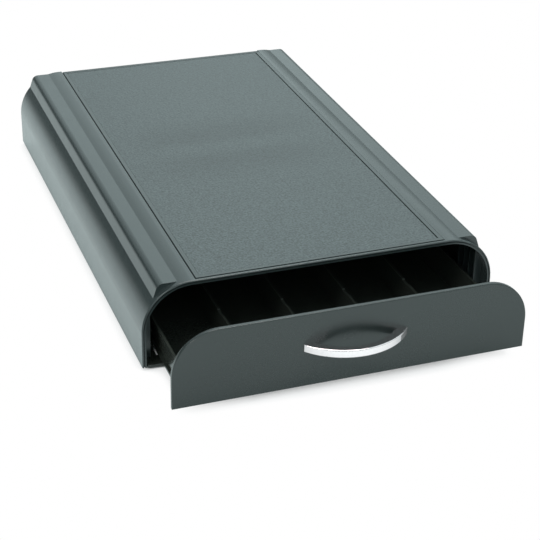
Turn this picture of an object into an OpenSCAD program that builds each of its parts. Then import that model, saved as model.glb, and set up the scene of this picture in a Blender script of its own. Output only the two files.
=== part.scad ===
// Drawer for coffee capsules that stands under a coffee machine.
// A moulded housing, open at the front, holds a shallow tray with long lanes.
// X is the width, Y runs from front to back, Z is up, millimetres.

/* [Housing] */
// Width of the housing
housing_w = 228; // [210:1:260]
// Length of the housing from front rim to back wall
housing_d = 352; // [300:1:400]
// Height of the side walls from their lower edge to the flat top
housing_h = 54; // [52:0.5:70]
// Thickness of the moulded walls and roof
wall = 2.6; // [2.2:0.1:3]
// Outside radius of the two long top corners
corner_r = 31; // [28:0.5:34]
// Radius of the bead that edges the front rim
bead_r = 0.8; // [0.4:0.1:1]
// Distance of the rim's groove from the outside of the wall
rim_groove_in = 0.9; // [0.8:0.1:1.2]
// Width of the groove in the front rim
rim_groove_w = 0.7; // [0.4:0.1:0.8]
// Depth of the groove in the front rim
rim_groove_depth = 1.1; // [0.4:0.1:1.2]

/* [Corner rails] */
// Distance of each rail's outer top edge from the side of the housing
rail_outer_in = 11.4; // [10.8:0.1:12.4]
// Drop of the rail's flat top below the flat top of the housing
rail_drop = 1; // [0.8:0.1:1.4]
// Outward lean of the rail's outer side, in degrees
rail_lean = 19; // [15:1:22]
// Radius along the rail's outer top edge
rail_edge_r = 4.6; // [1.8:0.1:4.8]
// Distance of the rail's front end behind the rim
rail_front = 4; // [2:0.5:8]

/* [Inside of the housing] */
// Number of guide ribs on each side wall
rib_count = 4; // [2:1:5]
// Distance of the first guide rib behind the rim
rib_first = 9; // [6:0.5:14]
// Distance from one guide rib to the next
rib_pitch = 7.3; // [6:0.1:9]
// Thickness of a guide rib
rib_t = 1.2; // [0.8:0.1:1.6]
// How far a guide rib stands out from the side wall
rib_depth = 5; // [4.2:0.1:5.4]
// Outside diameter of a screw boss
boss_d = 6; // [5:0.1:6.4]
// Distance from the side wall to the middle of a screw boss
boss_in = 3.8; // [3.2:0.1:3.9]
// Height of the screw bosses above the base plate
boss_h = 10; // [8:0.5:11]
// Number of screw bosses on each side
boss_count = 3; // [2:1:4]
// Distance of the first boss behind the rim
boss_first = 58; // [54:1:80]
// Distance of the last boss from the back of the housing
boss_last = 24; // [16:1:40]

/* [Top plate and mat] */
// Width of the recess in the roof for the top plate
recess_w = 161; // [140:0.5:164]
// Distance of the recess behind the front rim
recess_front = 1.8; // [1.8:0.1:6]
// Depth of the recess, which is the top plate's thickness
top_plate_t = 1.2; // [1:0.1:1.4]
// Mean gap beside the top plate
top_plate_gap = 0.5; // [0.4:0.05:0.8]
// Gap in front of the top plate
top_plate_front_gap = 1.2; // [0.6:0.1:2.4]
// How far the top plate's back edge falls below the flat top
top_plate_fall = 0.6; // [0.2:0.1:0.6]
// How far the top plate sits to the right of the middle of its recess
top_plate_shift = 0.4; // [0:0.05:0.4]
// Width of the smooth border around the mat
mat_border = 2.6; // [1.5:0.1:6]
// Thickness of the textured mat
mat_t = 0.7; // [0.4:0.05:0.8]
// Mean gap beside the mat
mat_gap = 0.5; // [0.4:0.05:0.8]
// How far the mat sits to the left of the middle of its pocket
mat_shift = 0.4; // [0:0.05:0.4]
// Width of the border behind the mat, which slopes down to the back edge
back_border = 5; // [3:0.5:8]

/* [Base plate and feet] */
// Thickness of the base plate
base_t = 1.9; // [1.6:0.1:2.6]
// How far the base plate hangs below the side walls
base_drop = 0.5; // [0.3:0.1:0.8]
// Gap between the base plate and the housing
base_gap = 0.3; // [0.2:0.05:0.6]
// Radius of the base plate's front corners
base_corner_r = 2; // [1:0.5:5]
// Width of the two low ridges that the tray slides on
slide_w = 3; // [2:0.5:5]
// Height of the ridges that the tray slides on
slide_h = 1.3; // [0.8:0.1:2]
// Distance of each slide ridge from the side of the housing
slide_side_in = 44; // [40:1:60]
// Width of the two fences that guide the tray sideways
fence_w = 1.1; // [0.8:0.1:1.4]
// Height of the fences
fence_h = 2.8; // [2:0.1:4]
// Distance of the closing fingers' slots behind the base plate's front edge
finger_front = 10; // [6:0.5:12]
// Length of a closing finger
finger_l = 22; // [16:1:26]
// Width of a closing finger
finger_w = 8; // [6:0.5:12]
// Width of the slots around a closing finger
finger_slot = 2; // [1.2:0.1:2.4]
// Distance of the outer finger slot from the side of the housing
finger_side_in = 11.3; // [11.2:0.1:14]
// Diameter of a foot
foot_d = 13; // [8:0.5:16]
// Height of the feet below the base plate
foot_h = 1.5; // [1:0.1:4]
// Depth of a foot's seat in the base plate
foot_seat = 0.5; // [0.3:0.1:0.8]
// Distance of each foot from the side of the housing
foot_side_in = 36; // [34:1:60]
// Distance of the feet from the front and the back of the housing
foot_end_in = 24; // [18:1:60]

/* [Drawer] */
// How far the drawer stands open as modelled
drawer_open = 51.5; // [20:0.5:120]
// Farthest that the drawer opens, from closed
drawer_travel = 270; // [180:5:280]
// Gap between the closed tray and the back wall
tray_back_gap = 1; // [0.5:0.1:3]
// Gap between the tray and the ridges and bumps under it
slide_gap = 0.3; // [0.2:0.05:0.5]
// Height of the tray, floor included
tray_h = 19.4; // [16:0.1:24]
// Thickness of the tray's walls and floor
tray_t = 1.5; // [1.2:0.1:2]
// Outward lean of the tray's side walls over their height
tray_draft = 1.7; // [0.6:0.1:2.4]
// Distance from the edge of the tray's floor to the side of the housing
tray_side_in = 11.6; // [11.3:0.1:12]
// Width of the floor's edge that stands out as a runner beside the walls
runner_w = 1.4; // [1:0.1:2]
// Gap between a runner and its fence
runner_gap = 0.5; // [0.4:0.05:0.8]
// Width of the click groove under the tray
click_w = 6; // [4:0.5:8]
// Depth of the click groove under the tray
click_depth = 0.5; // [0.3:0.1:0.7]
// Thickness of a divider
divider_t = 1.6; // [1.2:0.1:2]
// Gap beside a divider in its end channels
divider_gap = 0.1; // [0.05:0.05:0.2]
// Depth of the end channels that hold the dividers
channel_depth = 3; // [2:0.5:5]
// Thickness of the channels' cheeks
channel_t = 1.2; // [0.8:0.1:1.6]
// Distance of the divider's top notch behind the front panel's face
notch_front = 60; // [30:1:120]
// Length of the notch in the divider's top edge
notch_l = 8; // [4:0.5:16]
// Depth of the notch in the divider's top edge
notch_depth = 0.8; // [0.4:0.1:2]
// Height of the stop lugs on the sides of the tray
lug_h = 5; // [3:0.5:5.5]
// Thickness of the stop lugs
lug_t = 4; // [2:0.5:6]
// Gap between the stop lugs and the side walls of the housing
lug_side_gap = 0.6; // [0.5:0.1:3]
// Gap that stays between the stop lugs and the last guide rib
stop_gap = 0.3; // [0.2:0.1:0.5]

/* [Front panel] */
// Thickness of the front panel
panel_t = 2.5; // [2:0.1:3.5]
// Gap between the front panel and the sides of the opening
panel_gap = 0.35; // [0.3:0.05:0.8]
// Gap between the front panel and the top of the opening
panel_top_gap = 0.8; // [0.4:0.05:1.5]
// Gap between the front panel and the base plate
panel_bottom_gap = 1.2; // [0.6:0.1:2]
// Radius along the front panel's face
panel_edge_r = 0.5; // [0.3:0.1:1]
// Height of the panel screws above the tray's underside
panel_screw_z = 10; // [7:0.5:14]

/* [Handle] */
// Width of the bow handle at the panel
handle_w = 64.4; // [56:0.2:80]
// How far the bow stands out from the panel
handle_reach = 15.8; // [14:0.2:22]
// How far the bow's blunt ends stand out from the panel
handle_end_out = 0.8; // [0.8:0.1:2.4]
// Thickness of the bow from front to back
handle_t = 5.2; // [4:0.1:7]
// Height of the bow
handle_h = 5; // [4.6:0.1:8]
// Height of the bow's middle above the front panel's lower edge
handle_z = 26.1; // [23:0.1:32]
// Radius along the edges of the bow
handle_edge_r = 0.7; // [0.3:0.1:1]
// Width of each end of the bow where it meets the panel
handle_end_w = 8; // [7.6:0.1:10]
// Distance from the bow's end to its screw
handle_screw_in = 5; // [4.8:0.1:5.2]
// Depth of the screw holes in the handle
handle_hole = 4; // [3:0.1:4.2]

/* [Screws] */
// Thread diameter of all screws
screw_d = 2.6; // [2.2:0.1:2.9]
// Gap around a screw's thread
thread_gap = 0.05; // [0.03:0.01:0.1]
// Gap around a screw where it passes through a plate
clear_gap = 0.2; // [0.15:0.05:0.4]
// Head diameter of the countersunk base screws
sunk_head_d = 5; // [4.6:0.1:5.2]
// Head height of the countersunk base screws
sunk_head_h = 1.2; // [1:0.1:1.3]
// Head diameter of the pan head screws
pan_head_d = 5.2; // [4.6:0.1:6]
// Head height of the pan head screws
pan_head_h = 1.8; // [1.4:0.1:2.4]
// Length of the base screws under the head
base_screw_l = 8; // [6:0.5:8]

/* [Hidden] */
$fn = 64;
// Overshoot of cutting solids
eps = 1;
// Number of lanes, one more than there are dividers
lanes = 5;
// Room between the closed front panel and the slide ridges behind it
panel_to_slide = 1.5;
// Room between a closing finger's slots and the fence behind them
finger_to_fence = 4;
// Distance from a closing finger's free end to the middle of its bump
finger_tip_to_bump = 5;
// Radius of the bump on a closing finger
bump_r = 6;
// Wall of the spigots behind the front panel, around their screws
spigot_wall = 1.5;
// Skin left in front of the screws in the spigots
panel_skin = 0.6;
// Overlap that joins an added shape to what carries it
embed = 0.2;
// Depth of a rail's root in the corner, as a share of the corner's radius
rail_root = 0.32;
// How far the dividers' end channels stop below the tray's top
channel_drop = 1;

// Colours
housing_grey = [0.30, 0.33, 0.33];
plate_grey = [0.34, 0.37, 0.37];
tray_black = [0.10, 0.11, 0.11];
panel_grey = [0.25, 0.28, 0.28];
chrome_grey = [0.80, 0.82, 0.83];
steel_grey = [0.60, 0.61, 0.62];
rubber_black = [0.08, 0.08, 0.08];

// Housing, measured from the middle of the front rim at the walls' lower edge
half_w = housing_w / 2;
corner_x = half_w - corner_r;
corner_z = housing_h - corner_r;
inner_half_w = half_w - wall;
inner_r = corner_r - wall;
back_wall_y = housing_d - wall;
rail_outer_x = half_w - rail_outer_in;
rail_z = housing_h - rail_drop;
rib_x = inner_half_w - rib_depth;
rib_top_z = corner_z + sqrt(pow(inner_r, 2) - pow(rib_x - corner_x, 2));
rib_last_back = rib_first + (rib_count - 1) * rib_pitch + rib_t;
boss_x = inner_half_w - boss_in;
boss_step = (housing_d - boss_last - boss_first) / (boss_count - 1);
boss_ys = [for (i = [0 : boss_count - 1]) boss_first + i * boss_step];

// Base plate and feet
slide_x = half_w - slide_side_in;
slide_front = panel_t + panel_to_slide;
fence_x = half_w - tray_side_in + runner_gap;
fence_front = finger_front + finger_l + finger_to_fence;
finger_outer_x = half_w - finger_side_in;
finger_inner_x = finger_outer_x - finger_w - 2 * finger_slot;
bump_x = (finger_outer_x + finger_inner_x) / 2;
bump_y = finger_front + finger_slot + finger_tip_to_bump;
bump_h = slide_h;
base_under_z = -base_drop;
base_top_z = base_t - base_drop;
base_half_w = inner_half_w - base_gap;
base_l = back_wall_y - base_gap;
foot_x = half_w - foot_side_in;
foot_ys = [foot_end_in, housing_d - foot_end_in];
lift = foot_h + base_drop;

// Top plate and mat
recess_half_w = recess_w / 2;
top_plate_half_w = recess_half_w - top_plate_gap;
top_plate_front = recess_front + top_plate_front_gap;
top_plate_under_z = housing_h - top_plate_t;
pocket_half_w = top_plate_half_w - mat_border;
pocket_front = top_plate_front + mat_border;
mat_half_w = pocket_half_w - mat_gap;
mat_front = pocket_front + mat_gap - mat_shift;
pocket_back = housing_d - back_border;
mat_back = pocket_back - mat_gap;
mat_under_z = housing_h - mat_t;

// Drawer, closed, with the front panel's face in the plane of the rim
tray_under_z = base_top_z + slide_h + slide_gap;
tray_floor_z = tray_under_z + tray_t;
tray_top_z = tray_under_z + tray_h;
runner_x = half_w - tray_side_in;
tray_foot_x = runner_x - runner_w;
tray_rim_x = tray_foot_x + tray_draft;
tray_inner_foot_x = tray_foot_x - tray_t;
tray_inner_rim_x = tray_rim_x - tray_t;
tray_front = panel_t;
tray_back = back_wall_y - tray_back_gap;
lane_front = tray_front + tray_t;
lane_back = tray_back - tray_t;
lane_pitch = (2 * tray_inner_rim_x + divider_t) / lanes;
divider_xs = [for (i = [1 : lanes - 1]) (i - lanes / 2) * lane_pitch];
lug_y = rib_last_back + stop_gap + drawer_travel;
lug_x = inner_half_w - lug_side_gap;

// Front panel
panel_half_w = inner_half_w - panel_gap;
panel_top_z = housing_h - wall - panel_top_gap;
panel_under_z = base_top_z + panel_bottom_gap;
panel_corner_r = inner_r - panel_gap;
panel_screw_height = tray_under_z + panel_screw_z;
panel_screw_xs = [for (i = [0, 1, lanes - 2, lanes - 1]) (i - (lanes - 1) / 2) * lane_pitch];
spigot_d = screw_d + 2 * spigot_wall;
spigot_l = tray_t - clear_gap;
panel_screw_l = tray_t + panel_t - panel_skin - clear_gap;

// Handle, a circular bow in plan
bow_half_w = handle_w / 2;
bow_rise = handle_reach - handle_end_out;
bow_outer_r = (pow(bow_half_w, 2) + pow(bow_rise, 2)) / (2 * bow_rise);
bow_axis_y = bow_outer_r - handle_reach;
bow_gap = handle_reach - handle_t;
bow_gap_half_w = bow_half_w - handle_end_w;
bow_inner_r = (pow(bow_gap_half_w, 2) + pow(bow_gap, 2)) / (2 * bow_gap);
bow_inner_axis_y = bow_inner_r - bow_gap;
bow_mid_z = panel_under_z + handle_z;
handle_screw_x = bow_half_w - handle_screw_in;
handle_screw_l = panel_t + handle_hole - 2 * clear_gap;

thread_r = screw_d / 2;

// Place of the rim plane that centres the whole object's footprint on the origin
front_reach = drawer_open + handle_reach;
rim_y = (front_reach - housing_d) / 2;

// ---- Frames ----

// Puts a piece of the housing where it stands on the table
module from_rim() {
    translate([0, rim_y, lift]) children();
}

// Puts a piece of the drawer where it stands when the drawer is part open
module in_drawer() {
    from_rim() translate([0, -drawer_open, 0]) children();
}

// Turns a drawing of the front view into a solid that runs backwards from y0 to y1
module run_back(y0, y1) {
    translate([0, y1, 0]) rotate([90, 0, 0]) linear_extrude(y1 - y0) children();
}

// Repeats a piece on the left and on the right
module both_sides() {
    children();
    mirror([1, 0, 0]) children();
}

// ---- Shared shapes ----

// Front view of a body with two round top corners
module arched_outline(half, top, r, bottom) {
    translate([-half, bottom]) square([2 * half, top - r - bottom]);
    translate([-(half - r), bottom]) square([2 * (half - r), top - bottom]);
    intersection() {
        for (side = [-1, 1]) translate([side * (half - r), top - r]) circle(r, $fn = 96);
        translate([-half, top - r]) square([2 * half, r]);
    }
}

// Runs a section along the left side, the two top corners, the top and the right side.
// In the section, x is the distance outside the surface and y the distance behind the face.
module run_around(half, top, r, bottom) {
    both_sides() {
        translate([half, 0, bottom]) linear_extrude(top - r - bottom) children();
        translate([half - r, 0, top - r]) rotate([-90, 0, 0]) rotate([0, 0, -90])
            rotate_extrude(angle = 90, $fn = 96) translate([r, 0]) children();
    }
    translate([half - r, 0, top]) rotate([0, -90, 0]) linear_extrude(2 * (half - r)) children();
}

// Section that rounds an outside edge when it is cut away
module edge_round_section(r) {
    difference() {
        translate([-r, -eps]) square([r + eps, r + eps]);
        translate([-r, r]) circle(r, $fn = 32);
    }
}

// Cross recess in a screw head whose face looks along -Z
module cross_recess(size) {
    for (a = [0, 90]) rotate([0, 0, a])
        translate([-size / 2, -size / 8, -eps]) cube([size, size / 4, eps + size / 4]);
}

// Screw with a countersunk head, head face at z = 0, thread along +Z
module sunk_screw(l) {
    difference() {
        union() {
            cylinder(h = sunk_head_h, d1 = sunk_head_d, d2 = screw_d);
            cylinder(h = l, d = screw_d);
        }
        cross_recess(sunk_head_d * 0.55);
    }
}

// Screw with a pan head, seat at z = 0, thread along +Z
module pan_screw(l) {
    half_h = pan_head_h / 2;
    difference() {
        union() {
            translate([0, 0, -pan_head_h]) cylinder(h = half_h, d1 = pan_head_d * 0.72, d2 = pan_head_d);
            translate([0, 0, -half_h]) cylinder(h = half_h, d = pan_head_d);
            cylinder(h = l, d = screw_d);
        }
        translate([0, 0, -pan_head_h]) cross_recess(pan_head_d * 0.5);
    }
}

// ---- Housing ----

// Front view of one rail that stands proud of the corner. Its flat top starts on the round corner.
module rail_outline() {
    edge_x = rail_outer_x - rail_edge_r * (1 - sin(rail_lean)) / cos(rail_lean);
    edge_z = rail_z - rail_edge_r;
    depth = corner_r * rail_root;
    polygon([
        [corner_x, rail_z - depth], [corner_x, rail_z], [edge_x, rail_z],
        [edge_x + rail_edge_r * cos(rail_lean), edge_z + rail_edge_r * sin(rail_lean)],
        [rail_outer_x + depth * tan(rail_lean), rail_z - depth]
    ]);
    translate([edge_x, edge_z]) circle(rail_edge_r, $fn = 32);
}

// Front view of the space inside the housing
module cavity_outline() {
    arched_outline(inner_half_w, housing_h - wall, inner_r, -eps);
}

module guide_ribs() {
    for (i = [0 : rib_count - 1])
        run_back(rib_first + i * rib_pitch, rib_first + i * rib_pitch + rib_t)
            intersection() {
                translate([rib_x, base_top_z]) square([rib_depth + wall / 2, rib_top_z - base_top_z]);
                arched_outline(half_w - wall / 2, housing_h - wall / 2, corner_r - wall / 2, 0);
            }
}

module screw_bosses() {
    for (y = boss_ys) translate([boss_x, y, base_top_z]) difference() {
        union() {
            cylinder(h = boss_h, d = boss_d);
            translate([0, -boss_d / 4, 0]) cube([inner_half_w - boss_x + wall / 2, boss_d / 2, boss_h]);
        }
        translate([0, 0, -eps]) cylinder(h = base_screw_l + eps, r = thread_r + thread_gap);
    }
}

// Bead and groove of the front rim, as the section that is cut away
module rim_section() {
    edge_round_section(bead_r);
    translate([-rim_groove_in - rim_groove_w, -eps]) square([rim_groove_w, rim_groove_depth + eps]);
}

module housing_shell() color(housing_grey) from_rim() {
    difference() {
        union() {
            run_back(0, housing_d) arched_outline(half_w, housing_h, corner_r, 0);
            both_sides() run_back(rail_front, housing_d) rail_outline();
        }
        run_back(-eps, back_wall_y) cavity_outline();
        // recess for the top plate, open at the back
        translate([-recess_half_w, recess_front, top_plate_under_z])
            cube([recess_w, housing_d, top_plate_t + eps]);
        run_around(half_w, housing_h, corner_r, -eps) rim_section();
    }
    both_sides() {
        guide_ribs();
        screw_bosses();
    }
}

// ---- Top plate and mat ----

// Side view of the top plate, whose border behind the mat slopes down
module top_plate_side() {
    polygon([
        [top_plate_front, top_plate_under_z], [housing_d, top_plate_under_z],
        [housing_d, housing_h - top_plate_fall], [pocket_back, housing_h], [top_plate_front, housing_h]
    ]);
}

module top_plate() color(plate_grey) from_rim() translate([top_plate_shift, 0, 0]) difference() {
    translate([-top_plate_half_w, 0, 0]) rotate([90, 0, 90])
        linear_extrude(2 * top_plate_half_w) top_plate_side();
    translate([-pocket_half_w, pocket_front, mat_under_z])
        cube([2 * pocket_half_w, pocket_back - pocket_front, mat_t + eps]);
}

module grip_mat() color(plate_grey) from_rim()
    translate([top_plate_shift - mat_shift - mat_half_w, mat_front, mat_under_z])
        cube([2 * mat_half_w, mat_back - mat_front, mat_t]);

// ---- Base plate and feet ----

module base_outline() {
    r = base_corner_r;
    translate([-base_half_w, r]) square([2 * base_half_w, base_l - r]);
    translate([-base_half_w + r, 0]) square([2 * (base_half_w - r), base_l]);
    for (side = [-1, 1]) translate([side * (base_half_w - r), r]) circle(r, $fn = 32);
}

// Slots in plan around one closing finger, which stays joined at its back end
module finger_slots() {
    for (x = [finger_inner_x, finger_outer_x - finger_slot])
        translate([x, finger_front]) square([finger_slot, finger_l]);
    translate([finger_inner_x, finger_front]) square([finger_outer_x - finger_inner_x, finger_slot]);
}

// Low round bump across the free end of a closing finger
module finger_bump() {
    translate([bump_x, bump_y, base_top_z]) intersection() {
        translate([-finger_w / 4, 0, bump_h - bump_r])
            rotate([0, 90, 0]) cylinder(h = finger_w / 2, r = bump_r);
        translate([-finger_w / 2, -bump_r, -base_t / 2])
            cube([finger_w, 2 * bump_r, bump_h + base_t]);
    }
}

// Countersunk holes for the base screws, in one side of the base plate
module base_screw_holes() {
    for (y = boss_ys) translate([boss_x, y, base_under_z]) {
        cylinder(h = sunk_head_h, d1 = sunk_head_d + 2 * clear_gap, d2 = screw_d + 2 * clear_gap);
        translate([0, 0, -eps]) cylinder(h = base_t + 2 * eps, r = thread_r + clear_gap);
    }
}

module foot_seats() {
    for (y = foot_ys) translate([foot_x, y, base_under_z - eps])
        cylinder(h = foot_seat + eps, d = foot_d + 2 * clear_gap);
}

// Slide ridge under the tray and fence beside its runner, on one side
module tray_guides() {
    root = base_t / 2;
    translate([slide_x, slide_front, base_top_z - root])
        cube([slide_w, base_l - base_corner_r - slide_front, slide_h + root]);
    translate([fence_x, fence_front, base_top_z - root])
        cube([fence_w, base_l - base_corner_r - fence_front, fence_h + root]);
}

module base_plate() color(tray_black) from_rim() {
    difference() {
        translate([0, 0, base_under_z]) linear_extrude(base_t) difference() {
            base_outline();
            both_sides() finger_slots();
        }
        both_sides() {
            base_screw_holes();
            foot_seats();
        }
    }
    both_sides() {
        tray_guides();
        finger_bump();
    }
}

module base_screws() color(steel_grey) from_rim() both_sides()
    for (y = boss_ys) translate([boss_x, y, base_under_z]) sunk_screw(base_screw_l);

// Round rubber foot with a rounded lower edge, standing on z = 0
module foot(side, y) {
    edge_r = foot_h * 0.4;
    full_h = foot_h + foot_seat;
    color(rubber_black) translate([side * foot_x, rim_y + y, 0]) rotate_extrude() {
        translate([0, edge_r]) square([foot_d / 2, full_h - edge_r]);
        square([foot_d / 2 - edge_r, full_h]);
        intersection() {
            translate([foot_d / 2 - edge_r, edge_r]) circle(edge_r, $fn = 32);
            square([foot_d, full_h]);
        }
    }
}

module foot_front_left() foot(-1, foot_ys[0]);
module foot_front_right() foot(1, foot_ys[0]);
module foot_rear_left() foot(-1, foot_ys[1]);
module foot_rear_right() foot(1, foot_ys[1]);

// ---- Drawer ----

// Front view of the tray's outside, with its leaning walls on a floor that stands out as runners
module tray_outline() {
    polygon([
        [-runner_x, tray_under_z], [runner_x, tray_under_z],
        [runner_x, tray_floor_z], [tray_foot_x, tray_floor_z],
        [tray_rim_x, tray_top_z], [-tray_rim_x, tray_top_z],
        [-tray_foot_x, tray_floor_z], [-runner_x, tray_floor_z]
    ]);
}

// Front view of the space between the tray's walls
module tray_space() {
    slope = tray_draft / (tray_top_z - tray_floor_z);
    top_x = tray_inner_rim_x + slope * eps;
    polygon([
        [-tray_inner_foot_x, tray_floor_z], [tray_inner_foot_x, tray_floor_z],
        [top_x, tray_top_z + eps], [-top_x, tray_top_z + eps]
    ]);
}

// Two cheeks that hold the end of each divider
module divider_channels(y) {
    slot = divider_t + 2 * divider_gap;
    for (x = divider_xs, side = [-1, 1])
        translate([x + side * (slot + channel_t) / 2 - channel_t / 2, y, tray_floor_z - embed])
            cube([channel_t, channel_depth + embed, tray_top_z - tray_floor_z - channel_drop]);
}

module drawer_tray() color(tray_black) in_drawer() {
    difference() {
        run_back(tray_front, tray_back) tray_outline();
        run_back(lane_front, lane_back) tray_space();
        for (x = panel_screw_xs) translate([x, tray_front - eps, panel_screw_height])
            rotate([-90, 0, 0]) cylinder(h = tray_t + 2 * eps, d = spigot_d + 2 * clear_gap);
        both_sides() translate([finger_inner_x, bump_y - click_w / 2, tray_under_z - eps])
            cube([finger_outer_x - finger_inner_x - finger_slot, click_w, click_depth + eps]);
    }
    divider_channels(lane_front - embed);
    divider_channels(lane_back - channel_depth);
    both_sides() translate([tray_inner_rim_x + embed, lug_y, tray_top_z - lug_h])
        cube([lug_x - tray_inner_rim_x - embed, lug_t, lug_h]);
}

module divider(i) color(tray_black) in_drawer() {
    y0 = lane_front + divider_gap;
    y1 = lane_back - divider_gap;
    translate([divider_xs[i] - divider_t / 2, 0, 0]) difference() {
        translate([0, y0, tray_floor_z]) cube([divider_t, y1 - y0, tray_top_z - tray_floor_z]);
        translate([-eps, notch_front, tray_top_z - notch_depth])
            cube([divider_t + 2 * eps, notch_l, eps + notch_depth]);
    }
}

module divider_1() divider(0);
module divider_2() divider(1);
module divider_3() divider(2);
module divider_4() divider(3);

// ---- Front panel ----

module front_panel() color(panel_grey) in_drawer() difference() {
    union() {
        run_back(0, panel_t)
            arched_outline(panel_half_w, panel_top_z, panel_corner_r, panel_under_z);
        for (x = panel_screw_xs) translate([x, panel_t - embed, panel_screw_height])
            rotate([-90, 0, 0]) cylinder(h = spigot_l + embed, d = spigot_d);
    }
    run_around(panel_half_w, panel_top_z, panel_corner_r, panel_under_z - eps)
        edge_round_section(panel_edge_r);
    translate([panel_half_w + eps, 0, panel_under_z]) rotate([0, -90, 0])
        linear_extrude(2 * (panel_half_w + eps)) mirror([1, 0]) edge_round_section(panel_edge_r);
    for (x = panel_screw_xs) translate([x, panel_skin, panel_screw_height])
        rotate([-90, 0, 0]) cylinder(h = panel_t + tray_t, r = thread_r + thread_gap);
    for (side = [-1, 1]) translate([side * handle_screw_x, -eps, bow_mid_z])
        rotate([-90, 0, 0]) cylinder(h = panel_t + 2 * eps, r = thread_r + clear_gap);
}

module panel_screws() color(steel_grey) in_drawer()
    for (x = panel_screw_xs) translate([x, lane_front, panel_screw_height])
        rotate([90, 0, 0]) pan_screw(panel_screw_l);

// ---- Handle ----

// Half section of a disc as high as the bow, with round edges
module disc_section(disc_r) {
    r = handle_edge_r;
    h = handle_h;
    translate([0, -h / 2]) {
        square([disc_r - r, h]);
        translate([0, r]) square([disc_r, h - 2 * r]);
        for (z = [r, h - r]) translate([disc_r - r, z]) circle(r, $fn = 32);
    }
}

// Half section of the space inside the bow, which widens at its round edges
module hollow_section(hollow_r) {
    h = handle_h;
    translate([0, -h / 2 - eps]) square([hollow_r, h + 2 * eps]);
    for (side = [0, 1]) mirror([0, side]) translate([hollow_r, h / 2])
        rotate([0, 0, -90]) mirror([1, 0]) mirror([0, 1]) edge_round_section(handle_edge_r);
}

module handle() color(chrome_grey) in_drawer() translate([0, 0, bow_mid_z]) difference() {
    intersection() {
        translate([0, bow_axis_y, 0]) rotate_extrude($fn = 128) disc_section(bow_outer_r);
        translate([-bow_half_w, -2 * handle_reach, -handle_h])
            cube([handle_w, 2 * handle_reach, 2 * handle_h]);
    }
    translate([0, bow_inner_axis_y, 0]) rotate_extrude($fn = 128) hollow_section(bow_inner_r);
    for (side = [-1, 1]) translate([side * handle_screw_x, eps, 0])
        rotate([90, 0, 0]) cylinder(h = handle_hole + eps, r = thread_r + thread_gap);
}

module handle_screws() color(steel_grey) in_drawer()
    for (side = [-1, 1]) translate([side * handle_screw_x, panel_t, bow_mid_z])
        rotate([90, 0, 0]) pan_screw(handle_screw_l);

housing_shell();
top_plate();
grip_mat();
base_plate();
base_screws();
foot_front_left();
foot_front_right();
foot_rear_left();
foot_rear_right();
drawer_tray();
divider_1();
divider_2();
divider_3();
divider_4();
front_panel();
panel_screws();
handle();
handle_screws();
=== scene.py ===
import math

import bpy
from mathutils import Matrix, Vector


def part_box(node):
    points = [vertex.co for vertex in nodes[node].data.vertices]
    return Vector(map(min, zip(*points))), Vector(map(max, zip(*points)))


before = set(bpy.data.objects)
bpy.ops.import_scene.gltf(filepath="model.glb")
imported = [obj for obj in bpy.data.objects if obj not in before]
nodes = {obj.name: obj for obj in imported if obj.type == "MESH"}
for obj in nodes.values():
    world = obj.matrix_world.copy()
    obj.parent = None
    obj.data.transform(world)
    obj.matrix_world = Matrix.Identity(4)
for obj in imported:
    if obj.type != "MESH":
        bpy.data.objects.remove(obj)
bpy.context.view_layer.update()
scene = bpy.context.scene
scene.view_settings.view_transform = "Standard"

# ---------------------------------------------------------------- camera

# Recovered from the photograph's straight edges: angles in radians, and the camera's place in metres from
# the middle of the front rim's lower edge.
PITCH, AZIMUTH, ROLL = 0.49837, 0.35371, 0.01932
CAMERA_FROM_RIM = (-0.30475, -0.73122, 0.47745)
SENSOR_WIDTH_MM = 36.0
FOCAL_LENGTH_MM = 99.907

shell_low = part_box("housing_shell")[0]
rim = Vector((0.0, shell_low.y, shell_low.z))
forward = Vector((math.sin(AZIMUTH) * math.cos(PITCH), math.cos(AZIMUTH) * math.cos(PITCH),
                  -math.sin(PITCH)))
right = Vector((math.cos(AZIMUTH), -math.sin(AZIMUTH), 0.0))
up = right.cross(forward)
cam_x = right * math.cos(ROLL) + up * math.sin(ROLL)
cam_y = up * math.cos(ROLL) - right * math.sin(ROLL)
turn = Matrix((cam_x, cam_y, -forward)).transposed()
lens = bpy.data.cameras.new("camera")
lens.sensor_fit = "HORIZONTAL"
lens.sensor_width = SENSOR_WIDTH_MM
lens.lens = FOCAL_LENGTH_MM
camera = bpy.data.objects.new("camera", lens)
camera.matrix_world = Matrix.Translation(rim + Vector(CAMERA_FROM_RIM)) @ turn.to_4x4()
scene.collection.objects.link(camera)
scene.camera = camera

# ---------------------------------------------------------------- helpers for nodes


def new_material(name):
    """An empty material with one Principled shader on its output."""
    mat = bpy.data.materials.new(name)
    mat.use_nodes = True
    tree = mat.node_tree
    tree.nodes.clear()
    out = tree.nodes.new("ShaderNodeOutputMaterial")
    shader = tree.nodes.new("ShaderNodeBsdfPrincipled")
    tree.links.new(shader.outputs["BSDF"], out.inputs["Surface"])
    return mat, tree, shader


def link(tree, source, target):
    tree.links.new(source, target)


def feed(tree, value, socket):
    """Sets a socket to a number, or links it to another node's output."""
    if isinstance(value, (int, float)):
        socket.default_value = value
    else:
        link(tree, value, socket)


def math_node(tree, kind, a, b):
    node = tree.nodes.new("ShaderNodeMath")
    node.operation = kind
    feed(tree, a, node.inputs[0])
    feed(tree, b, node.inputs[1])
    return node.outputs[0]


def distance_from(tree, value, middle):
    return math_node(tree, "ABSOLUTE", math_node(tree, "SUBTRACT", value, middle), 0)


def fade(tree, value, start, end, first, last, kind="LINEAR"):
    """Goes from first to last while the value goes from start to end, and stays level outside them."""
    node = tree.nodes.new("ShaderNodeMapRange")
    node.interpolation_type = kind
    for key, number in (("From Min", start), ("From Max", end), ("To Min", first), ("To Max", last)):
        node.inputs[key].default_value = number
    link(tree, value, node.inputs["Value"])
    return node.outputs["Result"]


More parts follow.
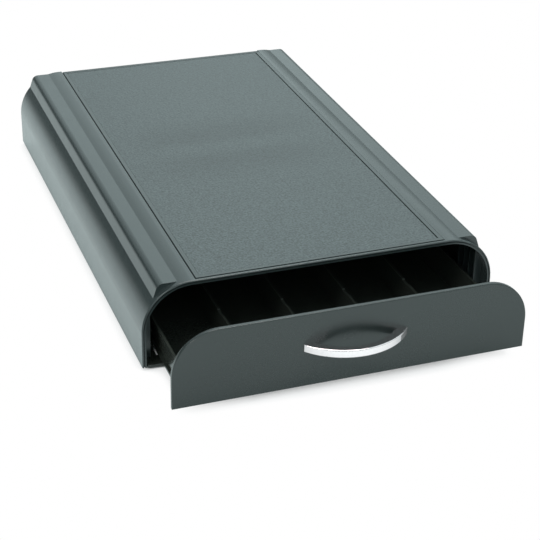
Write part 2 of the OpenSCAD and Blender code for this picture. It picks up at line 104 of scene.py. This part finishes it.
def ramp(tree, value, stops):
    """Colour ramp over a value, from stops of (position, colour)."""
    node = tree.nodes.new("ShaderNodeValToRGB")
    link(tree, value, node.inputs["Fac"])
    elements = node.color_ramp.elements
    for k, (position, colour) in enumerate(stops):
        stop = elements[k] if k < 2 else elements.new(position)
        stop.position = position
        stop.color = colour
    return node.outputs["Color"]


def axes(tree, coords):
    """The X, Y and Z of a place or direction."""
    split = tree.nodes.new("ShaderNodeSeparateXYZ")
    link(tree, coords, split.inputs[0])
    return split.outputs["X"], split.outputs["Y"], split.outputs["Z"]


def object_coords(tree):
    return tree.nodes.new("ShaderNodeTexCoord").outputs["Object"]


# ---------------------------------------------------------------- floor

# Part of the floor's white is its own, for the camera and for what mirrors the floor. The share follows how
# open the floor is above, which keeps the shadow as faint and as close to the object as in the photograph.
# Lengths and places are in metres.
OPEN_REACH = 0.014
OPEN_SAMPLES = 24
# (how open, share of own white)
OWN_WHITE = ((0.12, 0.0), (0.19, 0.58), (0.42, 0.66), (0.56, 0.78), (0.7, 1.0))
# share of that white that the plastic and the chrome mirror, and its colour, a faint cyan
MIRRORED_SHARE = 0.6
MIRRORED_COLOUR = (0.82, 1.0, 1.0, 1)
# floor under the housing, which has no white of its own: how far it reaches from its middle, with a soft edge
COVERED_TO_X = (0.110, 0.112)
COVERED_TO_Y = (0.1645, 0.1660)
COVERED_MIDDLE_Y = 0.044
# floor close in front of the panel
PANEL_Y = -0.2
FLOOR_HALF = 6

floor_mesh = bpy.data.meshes.new("floor")
floor_mesh.from_pydata([(-FLOOR_HALF, -FLOOR_HALF, 0), (FLOOR_HALF, -FLOOR_HALF, 0),
                        (FLOOR_HALF, FLOOR_HALF, 0), (-FLOOR_HALF, FLOOR_HALF, 0)], [], [(0, 1, 2, 3)])
floor = bpy.data.objects.new("floor", floor_mesh)
scene.collection.objects.link(floor)
floor_mat, floor_tree, floor_shader = new_material("floor_white")
floor_shader.inputs["Base Color"].default_value = (0.93, 0.93, 0.93, 1)
floor_shader.inputs["Roughness"].default_value = 0.9
floor_shader.inputs["Specular IOR Level"].default_value = 0.0
floor_mesh.materials.append(floor_mat)


def floor_math(kind, a, b):
    return math_node(floor_tree, kind, a, b)


def floor_fade(value, start, end, first, last):
    return fade(floor_tree, value, start, end, first, last)


def floor_layer(below, share, colour, strength):
    """An emitting layer that takes a share of the floor's shading."""
    glow = floor_tree.nodes.new("ShaderNodeEmission")
    glow.inputs["Color"].default_value = colour
    feed(floor_tree, strength, glow.inputs["Strength"])
    blend = floor_tree.nodes.new("ShaderNodeMixShader")
    link(floor_tree, share, blend.inputs[0])
    link(floor_tree, below, blend.inputs[1])
    link(floor_tree, glow.outputs[0], blend.inputs[2])
    return blend.outputs[0]


paths = floor_tree.nodes.new("ShaderNodeLightPath")
floor_x, floor_y, _ = axes(floor_tree, object_coords(floor_tree))
aside = floor_math("ABSOLUTE", floor_x, 0)
open_above = floor_tree.nodes.new("ShaderNodeAmbientOcclusion")
open_above.samples = OPEN_SAMPLES
open_above.inputs["Distance"].default_value = OPEN_REACH

# the shadow in front of the panel is deepest in its middle
in_middle = floor_math("MULTIPLY", floor_fade(floor_x, -0.07, -0.02, 0, 0.08),
                       floor_fade(floor_x, 0.055, 0.075, 1, 0))
deeper = floor_math("MULTIPLY", in_middle, floor_fade(floor_y, -0.188, -0.192, 0, 1))
own_white = ramp(floor_tree, floor_math("SUBTRACT", open_above.outputs["AO"], deeper),
                 [(openness, (share, share, share, 1)) for openness, share in OWN_WHITE])

# and it fades towards the panel's ends
at_ends = floor_math("ADD", floor_fade(floor_x, -0.06, -0.10, 0, 0.7),
                     floor_fade(floor_x, 0.06, 0.085, 0, 0.4))
at_ends = floor_math("MULTIPLY", at_ends, floor_fade(floor_y, -0.175, -0.165, 1, 0))
paler = floor_math("MULTIPLY", at_ends, floor_math("SUBTRACT", 1, own_white))

covered = floor_math("MULTIPLY", floor_fade(aside, *COVERED_TO_X, 1, 0),
                     floor_fade(distance_from(floor_tree, floor_y, COVERED_MIDDLE_Y), *COVERED_TO_Y, 1, 0))
own_share = floor_math("MULTIPLY", floor_math("ADD", own_white, paler), floor_math("SUBTRACT", 1, covered))

# as the camera sees it
seen = floor_math("MULTIPLY", paths.outputs["Is Camera Ray"], own_share)
surface = floor_layer(floor_shader.outputs["BSDF"], seen, (1, 1, 1, 1), 1.0)

# as the object mirrors it: darker close in front of the panel and away to the sides
mirrored = floor_math("MAXIMUM", paths.outputs["Is Glossy Ray"], paths.outputs["Is Transmission Ray"])
mirrored = floor_math("MULTIPLY", mirrored, own_share)
from_panel = distance_from(floor_tree, floor_y, PANEL_Y)
surface = floor_layer(surface, floor_math("MULTIPLY", mirrored, MIRRORED_SHARE), MIRRORED_COLOUR,
                      floor_math("MULTIPLY", floor_fade(aside, 0.18, 0.36, 1.06, 0.1),
                                 floor_fade(from_panel, 0.0, 0.06, 0.7, 1.08)))
floor_out = [n for n in floor_tree.nodes if n.type == "OUTPUT_MATERIAL"][0]
link(floor_tree, surface, floor_out.inputs["Surface"])

# ---------------------------------------------------------------- studio light

# (height of the direction, level of the light from there)
ELEVATION_LIGHT = ((0.0, 0.4), (0.275, 0.4), (0.33, 1.55), (0.40, 1.22), (0.47, 1.06), (0.7, 1.08),
                   (1.0, 0.8))
SKY_RED, SKY_BLUE = 0.84, 1.01
STRIP_X = 0.29
FRONT_LEVEL = 0.85

world = bpy.data.worlds.new("studio")
scene.world = world
world.use_nodes = True
sky = world.node_tree
sky.nodes.clear()
sky_out = sky.nodes.new("ShaderNodeOutputWorld")
background = sky.nodes.new("ShaderNodeBackground")
sky_x, sky_y, sky_z = axes(sky, sky.nodes.new("ShaderNodeTexCoord").outputs["Generated"])

# Behind the object the light is darker to the left and brightest a little to the right, as the soft
# gradients on the plastic show. The light from the front is even.
behind = math_node(sky, "MULTIPLY", fade(sky, sky_x, -0.55, 0.27, 0.3, 1.2),
                   fade(sky, distance_from(sky, sky_x, STRIP_X), 0.0, 0.13, 1.2, 0.92, "SMOOTHSTEP"))
in_front = fade(sky, sky_y, 0.45, 0.0, 0.0, 1.0, "SMOOTHSTEP")
not_in_front = math_node(sky, "SUBTRACT", 1.0, in_front)
sky_level = math_node(sky, "ADD", math_node(sky, "MULTIPLY", behind, not_in_front),
                      math_node(sky, "MULTIPLY", in_front, FRONT_LEVEL))
sky_colour = ramp(sky, sky_z, [(height, (SKY_RED * level, level, SKY_BLUE * level, 1))
                               for height, level in ELEVATION_LIGHT])
link(sky, sky_level, background.inputs["Strength"])
link(sky, sky_colour, background.inputs["Color"])
link(sky, background.outputs[0], sky_out.inputs["Surface"])


def soft_box(name, place, width, height, power):
    """A soft lamp, in metres and watts, aimed at the middle of the floor."""
    light = bpy.data.lights.new(name, "AREA")
    light.shape = "RECTANGLE"
    light.size = width
    light.size_y = height
    light.energy = power
    light.color = (1.0, 0.965, 0.955)
    lamp = bpy.data.objects.new(name, light)
    aim = (-Vector(place)).to_track_quat("-Z", "Y")
    lamp.matrix_world = Matrix.Translation(place) @ aim.to_matrix().to_4x4()
    scene.collection.objects.link(lamp)


soft_box("light_top", (0.3, 0.3, 2.4), width=1.2, height=0.9, power=27)
soft_box("light_left", (-1.8, -1.0, 1.9), width=0.9, height=0.9, power=15)

# ---------------------------------------------------------------- materials


def noise(tree, coords, scale, detail, rough=0.5, stretch=None):
    """Noise with features about 1 / scale metres apart."""
    if stretch:
        mapping = tree.nodes.new("ShaderNodeMapping")
        mapping.inputs["Scale"].default_value = stretch
        link(tree, coords, mapping.inputs["Vector"])
        coords = mapping.outputs["Vector"]
    tex = tree.nodes.new("ShaderNodeTexNoise")
    tex.inputs["Scale"].default_value = scale
    tex.inputs["Detail"].default_value = detail
    tex.inputs["Roughness"].default_value = rough
    link(tree, coords, tex.inputs["Vector"])
    return tex.outputs["Fac"]


def tint(tree, base, factor):
    """The base colour brightened or darkened by a varying factor."""
    node = tree.nodes.new("ShaderNodeVectorMath")
    node.operation = "SCALE"
    node.inputs[0].default_value = base
    link(tree, factor, node.inputs["Scale"])
    return node.outputs[0]


def bumps(tree, shader, layers, edge=0.0):
    """Bump layers (height, distance in metres, strength) over an edge rounded by a radius in metres."""
    normal = None
    if edge:
        bevel = tree.nodes.new("ShaderNodeBevel")
        bevel.samples = 6
        bevel.inputs["Radius"].default_value = edge
        normal = bevel.outputs[0]
    for height, distance, strength in layers:
        bump = tree.nodes.new("ShaderNodeBump")
        bump.inputs["Distance"].default_value = distance
        bump.inputs["Strength"].default_value = strength
        link(tree, height, bump.inputs["Height"])
        if normal is not None:
            link(tree, normal, bump.inputs["Normal"])
        normal = bump.outputs[0]
    link(tree, normal, shader.inputs["Normal"])


def plastic(name, base, rough, ior, peel, edge=0.0003):
    """Moulded plastic: slight colour drift, uneven gloss, fine surface texture, softened edges."""
    mat, tree, shader = new_material(name)
    coords = object_coords(tree)
    drift = noise(tree, coords, scale=9, detail=2)
    fine = noise(tree, coords, scale=900, detail=2)
    wide = noise(tree, coords, scale=260, detail=3)
    haze = noise(tree, coords, scale=120, detail=1)
    scuff = noise(tree, coords, scale=60, detail=2, stretch=(1.0, 0.12, 1.0))
    factor = math_node(tree, "ADD", fade(tree, drift, 0.3, 0.7, 0.97, 1.03),
                       fade(tree, fine, 0.3, 0.7, -0.03, 0.03))
    link(tree, tint(tree, base, factor), shader.inputs["Base Color"])
    gloss = math_node(tree, "ADD", fade(tree, haze, 0.3, 0.7, rough - 0.012, rough + 0.012),
                      fade(tree, scuff, 0.55, 0.75, 0.0, 0.03))
    link(tree, gloss, shader.inputs["Roughness"])
    shader.inputs["IOR"].default_value = ior
    bumps(tree, shader, [(wide, 0.00002, peel), (fine, 0.00001, peel)], edge)
    return mat


# Two soft darker bands across the mat, one in front of and one behind this place
BANDS_Y = 0.0365
BANDS_DEPTH = 0.22


def darker_bands(tree, coords):
    """0 on plain mat, up to 1 in the middle of the darker bands."""
    x, y, _ = axes(tree, coords)
    sideways = math_node(tree, "ABSOLUTE", x, 0)
    lengthways = distance_from(tree, y, BANDS_Y)
    across = math_node(tree, "MULTIPLY", fade(tree, lengthways, 0.002, 0.018, 0.0, 1.0, "SMOOTHSTEP"),
                       fade(tree, lengthways, 0.022, 0.060, 1.0, 0.0, "SMOOTHSTEP"))
    return math_node(tree, "MULTIPLY", across, fade(tree, sideways, 0.018, 0.085, 1.0, 0.0, "SMOOTHSTEP"))


def grained_mat(name, base):
    """Mat inlay: fine leather-like grain with pits about 1.4 mm apart, and two soft darker bands."""
    mat, tree, shader = new_material(name)
    coords = object_coords(tree)
    cells = tree.nodes.new("ShaderNodeTexVoronoi")
    cells.feature = "SMOOTH_F1"
    cells.inputs["Scale"].default_value = 700
    link(tree, coords, cells.inputs["Vector"])
    pits = cells.outputs["Distance"]
    fine = noise(tree, coords, scale=800, detail=2, rough=0.6)
    drift = noise(tree, coords, scale=14, detail=3)
    grain = math_node(tree, "ADD", fade(tree, pits, 0.1, 0.7, -0.15, 0.12),
                      fade(tree, fine, 0.30, 0.70, -0.60, 1.05))
    factor = math_node(tree, "ADD", fade(tree, drift, 0.3, 0.7, 0.98, 1.02), grain)
    banded = math_node(tree, "MULTIPLY", darker_bands(tree, coords), BANDS_DEPTH)
    factor = math_node(tree, "MULTIPLY", factor, math_node(tree, "SUBTRACT", 1.0, banded))
    link(tree, tint(tree, base, factor), shader.inputs["Base Color"])
    link(tree, fade(tree, fine, 0.3, 0.7, 0.28, 0.40), shader.inputs["Roughness"])
    shader.inputs["IOR"].default_value = 1.45
    bumps(tree, shader, [(pits, 0.0001, 0.6), (fine, 0.0002, 0.5)], edge=0.0001)
    return mat


def chrome(name):
    """Bright plating with faint polish streaks along the bow and specks of dulled plating."""
    mat, tree, shader = new_material(name)
    coords = object_coords(tree)
    streak = noise(tree, coords, scale=90, detail=4, rough=0.6, stretch=(0.15, 1.0, 1.0))
    speck = noise(tree, coords, scale=700, detail=3)
    link(tree, tint(tree, (0.95, 0.85, 0.86), fade(tree, speck, 0.3, 0.7, 0.97, 1.02)),
         shader.inputs["Base Color"])
    shader.inputs["Metallic"].default_value = 1.0
    link(tree, math_node(tree, "ADD", fade(tree, streak, 0.35, 0.7, 0.04, 0.09),
                         fade(tree, speck, 0.55, 0.75, 0.0, 0.05)), shader.inputs["Roughness"])
    bumps(tree, shader, [(streak, 0.00001, 0.15)], edge=0.0001)
    return mat


def steel(name):
    """Zinc plated screws: turning marks and dull patches."""
    mat, tree, shader = new_material(name)
    coords = object_coords(tree)
    marks = noise(tree, coords, scale=2600, detail=3)
    patches = noise(tree, coords, scale=500, detail=4)
    link(tree, tint(tree, (0.60, 0.61, 0.62), fade(tree, patches, 0.3, 0.7, 0.85, 1.1)),
         shader.inputs["Base Color"])
    shader.inputs["Metallic"].default_value = 1.0
    link(tree, fade(tree, patches, 0.3, 0.7, 0.24, 0.42), shader.inputs["Roughness"])
    bumps(tree, shader, [(marks, 0.00002, 0.4)], edge=0.0001)
    return mat


def rubber(name):
    """Foot rubber: dull, slightly dusty, finely pitted."""
    mat, tree, shader = new_material(name)
    coords = object_coords(tree)
    pits = noise(tree, coords, scale=1800, detail=3)
    dust = noise(tree, coords, scale=220, detail=4)
    link(tree, tint(tree, (0.030, 0.030, 0.030), fade(tree, dust, 0.35, 0.75, 0.85, 1.5)),
         shader.inputs["Base Color"])
    link(tree, fade(tree, dust, 0.3, 0.7, 0.62, 0.8), shader.inputs["Roughness"])
    bumps(tree, shader, [(pits, 0.00004, 0.5)], edge=0.0003)
    return mat


housing_mat = plastic("housing_plastic", (0.026, 0.035, 0.035), rough=0.22, ior=1.6, peel=0.1, edge=0.0002)
top_mat = plastic("top_plate_plastic", (0.028, 0.038, 0.038), rough=0.28, ior=1.6, peel=0.1, edge=0.0001)
mat_mat = grained_mat("mat_grain", (0.0455, 0.0565, 0.0575))
base_mat = plastic("base_plastic", (0.026, 0.029, 0.024), rough=0.2, ior=1.5, peel=0.1)
tray_mat = plastic("tray_plastic", (0.030, 0.034, 0.029), rough=0.18, ior=1.5, peel=0.08)
# The panel's base colour is darker than the housing's: painted shade for the weaker light on its front.
panel_shaded_mat = plastic("panel_plastic_painted_shade", (0.017, 0.024, 0.023), rough=0.25, ior=1.6, peel=0.1, edge=0.001)
chrome_mat = chrome("chrome_plating")
steel_mat = steel("screw_steel")
rubber_mat = rubber("foot_rubber")

LOOKS = {
    "housing_shell": housing_mat, "top_plate": top_mat, "grip_mat": mat_mat,
    "base_plate": base_mat, "drawer_tray": tray_mat, "front_panel": panel_shaded_mat,
    "handle": chrome_mat, "base_screws": steel_mat, "panel_screws": steel_mat,
    "handle_screws": steel_mat,
}
for name, obj in nodes.items():
    mat = LOOKS.get(name)
    if name.startswith("foot_"):
        mat = rubber_mat
    if name.startswith("divider_"):
        mat = tray_mat
    if obj.material_slots:
        for slot in obj.material_slots:
            slot.material = mat
    else:
        obj.data.materials.append(mat)
